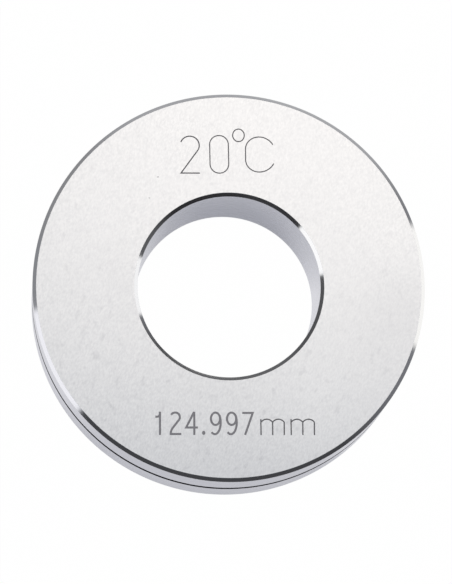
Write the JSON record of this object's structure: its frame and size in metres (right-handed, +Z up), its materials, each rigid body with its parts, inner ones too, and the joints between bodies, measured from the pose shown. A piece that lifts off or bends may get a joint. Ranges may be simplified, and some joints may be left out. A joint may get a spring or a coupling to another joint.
{
  "type": "setting ring gauge",
  "caption": "Thick round steel ring with a lapped through bore of known diameter, used to set bore gauges; chamfered corners and a grip groove round the rim.",
  "frame": {"origin": "centre of the bore on the lower lapped face, which the ring lies on", "axes": "+Z up along the bore axis, towards the marked face; +X along the lines of the marks as they are read, +Y towards the top of the marks"},
  "size_m": [0.268, 0.268, 0.08],
  "materials": {
    "gauge_steel": "hardened tool steel, fine ground and lapped to an even satin, with polished chamfers and bore"
  },
  "bodies": {
    "root": {"setting_ring": "gauge_steel"}
  },
  "joints": []
}
